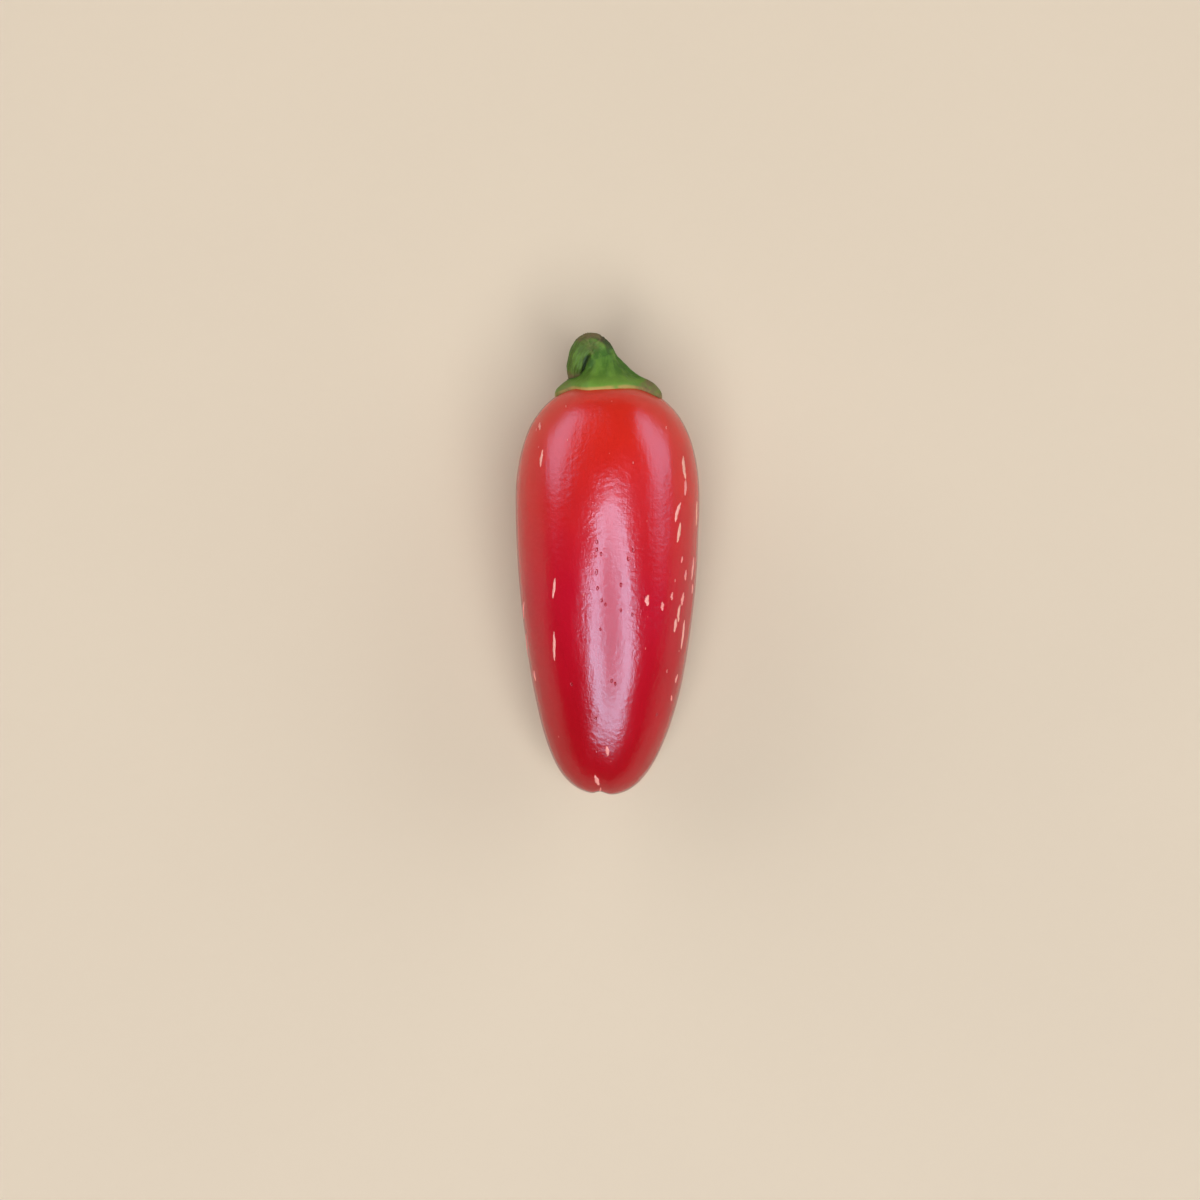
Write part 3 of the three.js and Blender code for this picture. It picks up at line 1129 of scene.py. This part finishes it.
    def build(self, pod: bpy.types.Object) -> bpy.types.Object:
        """Lays a ragged strip for each streak, wraps it on the skin and gives it its thickness.

        Args:
            pod: the skin that carries the streaks, in millimetres.

        Returns:
            All of them as one piece, not yet laid down.
        """
        chance = random.Random(self.seed)
        blanks = [self._blank(chance) for _ in range(self.blanks)]
        strips = []
        seen = (*self.upper, *self.scar, *self.specks)
        for place in (*self._upper_places(seen), *self._lower_places()):
            strip = chance.choice(blanks).copy()
            strip.data = strip.data.copy()
            bpy.context.collection.objects.link(strip)
            strip.matrix_world = place
            age = chance.uniform(0.3, 1.0) * min(place.col[1].length / self.full_length, 1.0)
            Bench.paint(strip, "age", [age] * len(strip.data.vertices))
            strips.append(strip)
        for blank in blanks:
            bpy.data.objects.remove(blank)
        Bench.pick(*strips)
        bpy.ops.object.transform_apply(location=True, rotation=True, scale=True)
        bpy.ops.object.join()
        cork = bpy.context.object
        cork.name = "cork_streaks"
        Bench.apply(cork, "SHRINKWRAP", target=pod, wrap_method="NEAREST_SURFACEPOINT", offset=0.0)
        Bench.apply(cork, "DISPLACE", strength=-self.sunk, mid_level=0.0)
        Bench.apply(
            cork, "DISPLACE", strength=self.proud + self.sunk, mid_level=0.0, vertex_group="crest"
        )
        Bench.apply(cork, "SOLIDIFY", thickness=self.thickness, offset=-1.0)
        Bench.apply(cork, "SUBSURF", levels=1, render_levels=1)
        Bench.roughen(cork, grain=0.3, height=0.06)
        return cork

    def dress(self, cork: bpy.types.Object) -> None:
        """Lays the streaks down with the pod and gives them their cork.

        Args:
            cork: the piece.
        """
        Bench.lay(cork, self.lie)
        cork.data.materials.clear()
        cork.data.materials.append(self.finish.make())
        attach(cork, "root")


@dataclass(frozen=True)
class Tooth:
    """One tooth of the calyx: where it points round the axis, and how far past the rim."""

    degrees: float
    reach: float


@dataclass(frozen=True)
class StalkPoint:
    """A point of the stalk's centre line: y is its station, x and z are from the pod's axis."""

    x: float
    y: float
    z: float
    radius: float

    def place(self) -> Vector:
        """The point as a vector."""
        return Vector((self.x, self.y, self.z))


class StalkLine:
    """The stalk's centre line in short steps, for finding the part of it that is nearest."""

    def __init__(self, points: Sequence[StalkPoint], per_span: int = 12) -> None:
        """Samples the line.

        Args:
            points: its points, from its root to its free end.
            per_span: how many samples there are from one point to the next.
        """
        self.samples: list[tuple[Vector, float, float]] = []
        spans = len(points) - 1
        for span in range(spans):
            here, there = points[span], points[span + 1]
            for k in range(per_span):
                t = k / per_span
                place = here.place().lerp(there.place(), t)
                radius = here.radius + (there.radius - here.radius) * t
                self.samples.append((place, radius, (span + t) / spans))
        self.tree = KDTree(len(self.samples))
        for number, (place, _, _) in enumerate(self.samples):
            self.tree.insert(place, number)
        self.tree.balance()

    def nearest(self, co: Vector) -> tuple[Vector, Vector, float, float]:
        """Finds the part of the line that is nearest to a place.

        Args:
            co: the place.

        Returns:
            That part's place, its sideways direction, its radius and its share of the way along.
        """
        place, number, _ = self.tree.find(co)
        after = self.samples[min(number + 1, len(self.samples) - 1)][0]
        before = self.samples[max(number - 1, 0)][0]
        tangent = (after - before).normalized()
        side = tangent.cross(Vector((0.0, 0.0, 1.0))).normalized()
        return place, side, *self.samples[number][1:]

    def gap(self, co: Vector, low: float, high: float) -> float:
        """Measures how far a place is from the surface of a part of the stalk.

        Args:
            co: the place.
            low: where that part starts, as a share of the way along.
            high: where it ends.

        Returns:
            The distance, below 0 inside the stalk.
        """
        part = (sample for sample in self.samples if low < sample[2] < high)
        return min((co - place).length - radius for place, radius, _ in part)


@dataclass(frozen=True)
class Spot:
    """A place on the green's surface, by where it is on the stalk and on the cap."""

    co: Vector
    share: float  # of the way along the stalk
    on_stalk: float  # 1 on the stalk, 0 on the cap
    outer: float  # 1 on the outer side of the stalk's fold
    about: float  # the angle round the stalk, or round the cap, in radians
    along: float  # how far along the ribs, in millimetres
    from_axis: float
    degrees: float  # the angle round the pod's axis
    to_rim: float  # the share of the way from the axis to the rim
    gap: float  # between the stalk's two limbs, or between its end and the cap
    wobble: float

    def band(self, rise: tuple[float, float], drop: tuple[float, float]) -> float:
        """Marks a part of the stalk that lies between two shares of the way along.

        Args:
            rise: where the mark starts and where it is full.
            drop: where it has ended and where it is still full.

        Returns:
            1 on that part and 0 off it.
        """
        return smooth_step(self.share, *rise) * smooth_step(self.share, *drop) * self.on_stalk


@dataclass
class CalyxAndStalk:
    """The green cap on the shoulder and the folded stalk stub that grows out of it."""

    form: PodForm
    lie: Matrix
    finish: CalyxFinish = field(default_factory=CalyxFinish)
    radius: float = 5.3
    thickness: float = 1.25
    root: float = 0.5
    edge_rounding: float = 0.55
    top_rounding: float = 0.6
    flare_radius: float = 3.95
    flare_slope: float = 1.15
    flare_softness: float = 0.35
    flare_lean: float = 0.2
    tooth_width: float = 17.0
    tooth_rib: float = 0.35
    teeth: tuple[Tooth, ...] = (
        Tooth(14, 2.5),
        Tooth(120, 0.6),
        Tooth(173, 2.2),
        Tooth(237, 1.5),
        Tooth(305, 1.8),
    )
    stalk: tuple[StalkPoint, ...] = (
        StalkPoint(-0.5, 58.0, 0.0, 3.0),
        StalkPoint(-0.75, 59.8, 0.05, 2.75),
        StalkPoint(-0.95, 61.2, 0.1, 2.15),
        StalkPoint(-1.3, 62.3, 0.25, 1.68),
        StalkPoint(-2.15, 63.0, 0.4, 1.46),
        StalkPoint(-3.05, 62.8, 0.5, 1.42),
        StalkPoint(-3.7, 62.0, 0.55, 1.38),
        StalkPoint(-4.12, 60.95, 0.5, 1.3),
        StalkPoint(-4.42, 59.9, 0.4, 1.18),
        StalkPoint(-4.62, 59.0, 0.25, 0.95),
        StalkPoint(-4.8, 58.2, 0.1, 0.6),
    )
    right_ear: float = 38.0  # the angle below which the right tooth is bruised
    left_ear: float = 160.0
    ear_radius: float = 5.5
    base_end: float = 0.36  # the share of the stalk's line where its upright part ends
    limb_start: float = 0.5  # and where the part that is folded back starts
    sides: int = 120
    rings: int = 48
    voxel: float = 0.11

    def _rim(self, degrees: float) -> float:
        """How far the calyx reaches from the axis at an angle."""
        reaches = (t.reach * swell(degrees, t.degrees, self.tooth_width) for t in self.teeth)
        return self.radius + sum(reaches)

    def _flare(self, radius: float) -> float:
        """How far the cap rises into the stalk at a distance from the axis."""
        inside = (self.flare_radius - radius) / self.flare_softness
        return self.flare_slope * self.flare_softness * math.log1p(math.exp(inside))

    def _profile(self, share: float) -> tuple[float, float]:
        """Places a ring of the cap.

        Args:
            share: the ring's share of the way from the underside's middle to the top's.

        Returns:
            Its station and its radius.
        """
        turn = math.pi * (share - 0.5)
        radius = self.radius * max(math.cos(turn), 0.0) ** self.edge_rounding
        lift = math.copysign(abs(math.sin(turn)) ** self.top_rounding, turn)
        height = lift * self.thickness + self._flare(radius) if lift > 0.0 else lift * self.root
        return self.form.shoulder_station(radius, 0.0) + height, radius

    def _with_teeth(self, turned: Vector) -> Vector:
        """Draws the cap's rim out into its teeth, along the dome that it lies on.

        Args:
            turned: a point of the plain round cap.

        Returns:
            The point of the toothed cap.
        """
        radius = math.hypot(turned.x, turned.z)
        if radius < TINY:
            return turned
        degrees = math.degrees(math.atan2(turned.z, turned.x))
        reach = self._rim(degrees) / self.radius
        height = turned.y - self.form.shoulder_station(radius, 0.0)
        rise = 0.0
        if height > 0.0:
            rise = self._flare(radius * reach)
            height = height - self._flare(radius) + rise
            ribs = sum(swell(degrees, t.degrees, self.tooth_width * 0.6) for t in self.teeth)
            height += self.tooth_rib * min(height, 1.0) * ribs
        station = self.form.shoulder_station(radius * reach, degrees) + height
        return Vector((turned.x * reach - self.flare_lean * rise, station, turned.z * reach))

    def _stalk(self) -> bpy.types.Object:
        """Draws the stalk as a curve of changing thickness.

        Returns:
            The stalk as a mesh object.
        """
        curve = bpy.data.curves.new("stalk", "CURVE")
        curve.dimensions = "3D"
        curve.resolution_u = 10
        curve.bevel_depth = 1.0
        curve.bevel_resolution = 8
        curve.use_fill_caps = True
        line = curve.splines.new("BEZIER")
        line.bezier_points.add(len(self.stalk) - 1)
        for bezier, point in zip(line.bezier_points, self.stalk):
            bezier.co = point.place()
            bezier.radius = point.radius
            bezier.handle_left_type = "AUTO"
            bezier.handle_right_type = "AUTO"
        stalk = bpy.data.objects.new("stalk", curve)
        bpy.context.collection.objects.link(stalk)
        Bench.pick(stalk)
        bpy.ops.object.convert(target="MESH")
        return bpy.context.object

    def build(self) -> bpy.types.Object:
        """Shapes the cap and the stalk, grows them together and works their ribs and wrinkles.

        Returns:
            The piece in millimetres, not yet laid down.
        """
        cap = Bench.throw("calyx_and_stalk_green", self.sides, self.rings, self._profile)
        Bench.sculpt(cap, self._with_teeth)
        Bench.pick(cap, self._stalk())
        bpy.ops.object.join()
        Bench.apply(cap, "REMESH", mode="VOXEL", voxel_size=self.voxel)
        Bench.apply(cap, "SMOOTH", factor=0.5, iterations=6)
        self._work_surface(cap)
        Bench.roughen(cap, grain=1.1, height=0.12)
        return cap

    def _spot(self, co: Vector, line: StalkLine) -> Spot:
        """Works out where a place of the surface is on the stalk and on the cap.

        Args:
            co: the place.
            line: the stalk's centre line.

        Returns:
            What there is to know about it.
        """
        place, side, radius, share = line.nearest(co)
        offset = co - place
        beside = offset.dot(side)
        on_stalk = smooth_step(share, 0.12, 0.3) * smooth_step(offset.length / radius, 1.7, 1.2)
        from_axis = math.hypot(co.x, co.z)
        degrees = math.degrees(math.atan2(co.z, co.x))
        about = math.radians(degrees)
        along = -from_axis * 0.6
        gap = line.gap(co, self.limb_start, 1.0)
        if on_stalk > 0.5:
            about = math.atan2(offset.z, beside)
            along = share * 14.0
            gap = max(gap, line.gap(co, -1.0, self.base_end))
        return Spot(
            co=co,
            share=share,
            on_stalk=on_stalk,
            outer=smooth_step(beside / radius, 0.35, 0.95),
            about=about,
            along=along,
            from_axis=from_axis,
            degrees=degrees,
            to_rim=from_axis / self._rim(degrees),
            gap=gap,
            wobble=noise.noise(co * 0.7),
        )

    def _paints(self, spot: Spot) -> dict[str, float]:
        """Works out how a spot is coloured.

        Args:
            spot: the spot.

        Returns:
            How much it belongs to the pale margin, the light skirt, the dry bruises, the olive limb
            and the painted shade of the crevices, each from 0 to 1 under its name.
        """
        on_cap = 1.0 - spot.on_stalk
        over_skin = spot.co.y - self.form.shoulder_station(spot.from_axis, spot.degrees)
        low_edge = smooth_step(over_skin + spot.wobble * 0.15, 0.55, 0.25)
        ragged = spot.degrees + 10.0 * noise.noise(spot.co * 1.6)
        on_ear = smooth_step(spot.from_axis, self.ear_radius - 0.5, self.ear_radius + 0.5)
        on_right = smooth_step(ragged, self.right_ear + 6.0, self.right_ear - 4.0)
        on_right *= smooth_step(ragged, self.right_ear - 90.0, self.right_ear - 60.0)
        ears = (on_right + 0.7 * swell(ragged, self.left_ear, 20.0)) * on_ear * on_cap
        # painted shade: a dark line along the right tooth's edge, where its rim folds over
        ear_edge_shade = swell(ragged, self.right_ear + 3.0, 4.5) * on_ear * on_cap
        fold = spot.band((0.24, 0.36), (0.6, 0.46)) * (0.45 + 0.55 * spot.outer)
        # painted shade on the outer side where the stalk starts to fold
        fold_start_shade = spot.band((0.2, 0.27), (0.42, 0.33)) * spot.outer
        free_end = smooth_step(spot.share, 0.82, 0.96) * spot.on_stalk
        off_bend = smooth_step(abs(spot.share - 0.43), 0.08, 0.22)
        # painted shade in the narrow gap between the stalk's limbs, away from the bend
        crease_shade = smooth_step(spot.gap, 0.55, 0.12) * off_bend
        return {
            "margin": on_cap * low_edge * smooth_step(spot.to_rim, 0.85, 0.95),
            "skirt": on_cap * smooth_step(spot.to_rim, 0.55, 0.95),
            "dry": min(fold + 0.85 * ears + free_end, 1.0),
            "limb": smooth_step(spot.share, 0.42, 0.52) * spot.on_stalk,
            "crevice_shade": max(crease_shade, 0.75 * ear_edge_shade, 0.7 * fold_start_shade),
        }

    @staticmethod
    def _relief(spot: Spot) -> float:
        """Works out how far ribs and wrinkles lift a spot.

        Args:
            spot: the spot.

        Returns:
            The lift in millimetres, below 0 in a hollow.
        """
        ribs = 0.09 * math.cos(5.0 * spot.about + spot.wobble)
        ribs += 0.04 * math.cos(13.0 * spot.about + 3.0 * spot.wobble)
        fold = spot.band((0.24, 0.36), (0.6, 0.46))
        wrinkles = 0.06 * fold * math.sin(spot.share * 170.0 + 6.0 * spot.wobble)
        return (ribs + wrinkles) * (0.5 + 0.5 * spot.on_stalk)

    def _work_surface(self, piece: bpy.types.Object) -> None:
        """Presses ribs and wrinkles into the green, paints where it is pale or dry, and paints shade
        into its crevices.

        Args:
            piece: the remeshed cap and stalk.
        """
        line = StalkLine(self.stalk)
        spots = [self._spot(vertex.co.copy(), line) for vertex in piece.data.vertices]
        paints = [self._paints(spot) for spot in spots]
        for name in ("margin", "skirt", "dry", "limb", "crevice_shade"):
            Bench.paint(piece, name, [paint[name] for paint in paints])
        grain: list[float] = []
        for spot in spots:
            grain += [1.5 * math.cos(spot.about), 0.22 * spot.along, 1.5 * math.sin(spot.about)]
        layer = piece.data.attributes.new("grain", "FLOAT_VECTOR", "POINT")
        layer.data.foreach_set("vector", grain)
        normals = [vertex.normal.copy() for vertex in piece.data.vertices]
        for vertex, spot, normal in zip(piece.data.vertices, spots, normals):
            vertex.co = spot.co + normal * self._relief(spot)
        piece.data.update()

    def dress(self, green: bpy.types.Object) -> None:
        """Lays the green down with the pod and gives it its finish.

        Args:
            green: the piece.
        """
        Bench.lay(green, self.lie)
        green.data.materials.clear()
        green.data.materials.append(self.finish.make())
        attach(green, "root")
        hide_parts(Node.CALYX.value)


class Hanging(Enum):
    """How a light hangs, which says what its angles are measured from."""

    OVERHEAD = "from straight up, towards +X and towards +Y"
    STANDING = "its compass direction from +Y towards +X, and its height over the horizon"


@dataclass(frozen=True)
class SoftLight:
    """A soft oval panel that faces the pepper, by the directions that it fills as seen from there.

    across and along are its first and last angle in degrees, measured as its hanging says. fade is
    the share of the way from its middle over which it dims at the edge. rim is how much brighter it
    is towards the edge, less so at its ends, and taper how much narrower its upper end is.
    """

    name: str
    across: tuple[float, float]
    along: tuple[float, float]
    radiance: Colour
    hanging: Hanging = Hanging.OVERHEAD
    fade: float = 0.3
    rim: float = 0.0
    taper: float = 0.0
    distance: float = 30.0

    def _towards(self) -> Vector:
        """Finds the direction from the pepper to the panel's middle.

        Returns:
            The direction, one unit long.
        """
        across, along = (math.radians(sum(angles) / 2.0) for angles in (self.across, self.along))
        if self.hanging is Hanging.OVERHEAD:
            return Vector((math.tan(across), math.tan(along), 1.0)).normalized()
        level = math.cos(along)
        return Vector((math.sin(across) * level, math.cos(across) * level, math.sin(along)))

    def add(self) -> None:
        """Adds the light to the scene."""
        width, height = (
            2.0 * self.distance * math.tan(math.radians(abs(last - first)) / 2.0)
            for first, last in (self.across, self.along)
        )
        light = bpy.data.lights.new(self.name, "AREA")
        light.shape = "RECTANGLE"
        light.size = width
        light.size_y = height
        strongest = max(self.radiance)
        light.color = tuple(channel / strongest for channel in self.radiance)
        light.energy = strongest * math.pi * width * height
        self._shape(light)
        lamp = bpy.data.objects.new(self.name, light)
        lamp.visible_camera = False
        towards = self._towards()
        standing = self.hanging is Hanging.STANDING
        upright = Vector((0.0, 0.0, 1.0) if standing else (0.0, 1.0, 0.0))
        sideways = upright.cross(towards).normalized()
        axes = Matrix((sideways, towards.cross(sideways), towards)).transposed().to_4x4()
        lamp.matrix_world = Matrix.Translation(towards * self.distance) @ axes
        bpy.context.collection.objects.link(lamp)

    def _shape(self, light: bpy.types.Light) -> None:
        """Makes a panel an oval that dims towards its edge, as a diffuser does.

        Args:
            light: the panel's light.
        """
        sheet = Sheet(light)
        place = sheet.node("ShaderNodeNewGeometry", {}, {}, output="Parametric")
        across, along = (sheet.part(place, axis) * 2.0 - 1.0 for axis in (0, 1))
        across = across * (1.0 + self.taper * along.most(0.0))
        out = (across * across + along * along) ** 0.5
        glow = out.ease(1.0, 1.0 - self.fade)
        if self.rim:
            between_ends = along.ease(1.2, 0.4) * along.ease(-1.0, -0.55)
            glow = glow * (1.0 + self.rim * out.ease(0.2, 0.7) * between_ends)
        lit = sheet.node("ShaderNodeEmission", {}, {"Strength": glow})
        sheet.add("ShaderNodeOutputLight", {}, {"Surface": lit})


@dataclass
class Studio:
    """The pale floor, the soft lights and the camera that looks straight down."""

    view: Viewpoint
    floor_size: float = 300.0
    floor_finish: FloorFinish = field(default_factory=FloorFinish)
    sky: Colour = (0.08, 0.08, 0.085)
    horizon: Colour = (0.62, 0.54, 0.42)
    lights: tuple[SoftLight, ...] = (
        SoftLight("ceiling", (-28, 37), (-53, 11), (2.1, 3.2, 4.4), fade=0.2, rim=3.1, taper=1.2),
        SoftLight("left_window", (-94, -12), (-3, 49), (2.5, 3.7, 5.3), Hanging.STANDING, fade=0.55),
        SoftLight("right_window", (18, 102), (-3, 47), (2.3, 3.7, 5.4), Hanging.STANDING, fade=0.55),
    )

    def set_up(self) -> None:
        """Lays the floor, hangs the lights and places the camera."""
        self._lay_floor()
        for light in self.lights:
            light.add()
        scene = bpy.context.scene
        scene.world = self._sky()
        scene.view_settings.view_transform = "Standard"
        scene.camera = self._place_camera()

    def _lay_floor(self) -> None:
        """Lays the floor, which is no part of the pepper."""
        bpy.ops.object.select_all(action="DESELECT")
        bpy.ops.mesh.primitive_plane_add(size=self.floor_size)
        floor = bpy.context.object
        floor.name = "floor"
        floor.data.materials.append(self.floor_finish.make())

    def _place_camera(self) -> bpy.types.Object:
        """Places the camera, which takes in what the photograph does.

        Returns:
            The camera's object.
        """
        distance = self.view.place.z - self.view.middle_height
        camera = bpy.data.cameras.new("photo_camera")
        camera.sensor_width = self.view.sensor
        camera.lens = self.view.sensor * distance / self.view.frame_width
        camera.clip_start = 0.01
        camera.clip_end = self.floor_size
        holder = bpy.data.objects.new("photo_camera", camera)
        holder.location = self.view.place * MM
        bpy.context.scene.collection.objects.link(holder)
        return holder

    def _sky(self) -> bpy.types.World:
        """Makes the dim room round the pepper, as pale as the floor at the horizon.

        Returns:
            The world.
        """
        sheet = Sheet(bpy.data.worlds.new("sky"))
        height = sheet.part(sheet.node("ShaderNodeTexCoord", {}, {}), 2)
        colour = sheet.blend(height.ease(0.0, 0.1), self.horizon, self.sky)
        glow = sheet.node("ShaderNodeBackground", {}, {"Color": colour})
        sheet.add("ShaderNodeOutputWorld", {}, {"Surface": glow})
        return sheet.owner


def report(piece: bpy.types.Object) -> None:
    """Logs a piece's name, its size and its faces."""
    size = ", ".join(f"{side / MM:.1f}" for side in piece.dimensions)
    log.info("%s: %s mm, %d faces", piece.name, size, len(piece.data.polygons))


def main() -> None:
    """Builds the pepper piece by piece, and the studio round it."""
    logging.basicConfig(level=logging.INFO, format="%(message)s")
    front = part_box(Node.POD.value)[0].y / MM
    form = PodForm()
    lie = form.lie(front)
    view = Viewpoint()
    sight = Sight(form, lie, view, front)
    pod_maker = Pod(form, lie, sight)
    cork_maker = CorkStreaks(form, lie, sight)
    green_maker = CalyxAndStalk(form, lie)
    pod = pod_maker.build()
    cork = cork_maker.build(pod)
    green = green_maker.build()
    for maker, piece in ((pod_maker, pod), (cork_maker, cork), (green_maker, green)):
        maker.dress(piece)
        report(piece)
    Studio(view).set_up()


if __name__ == "__main__":
    main()
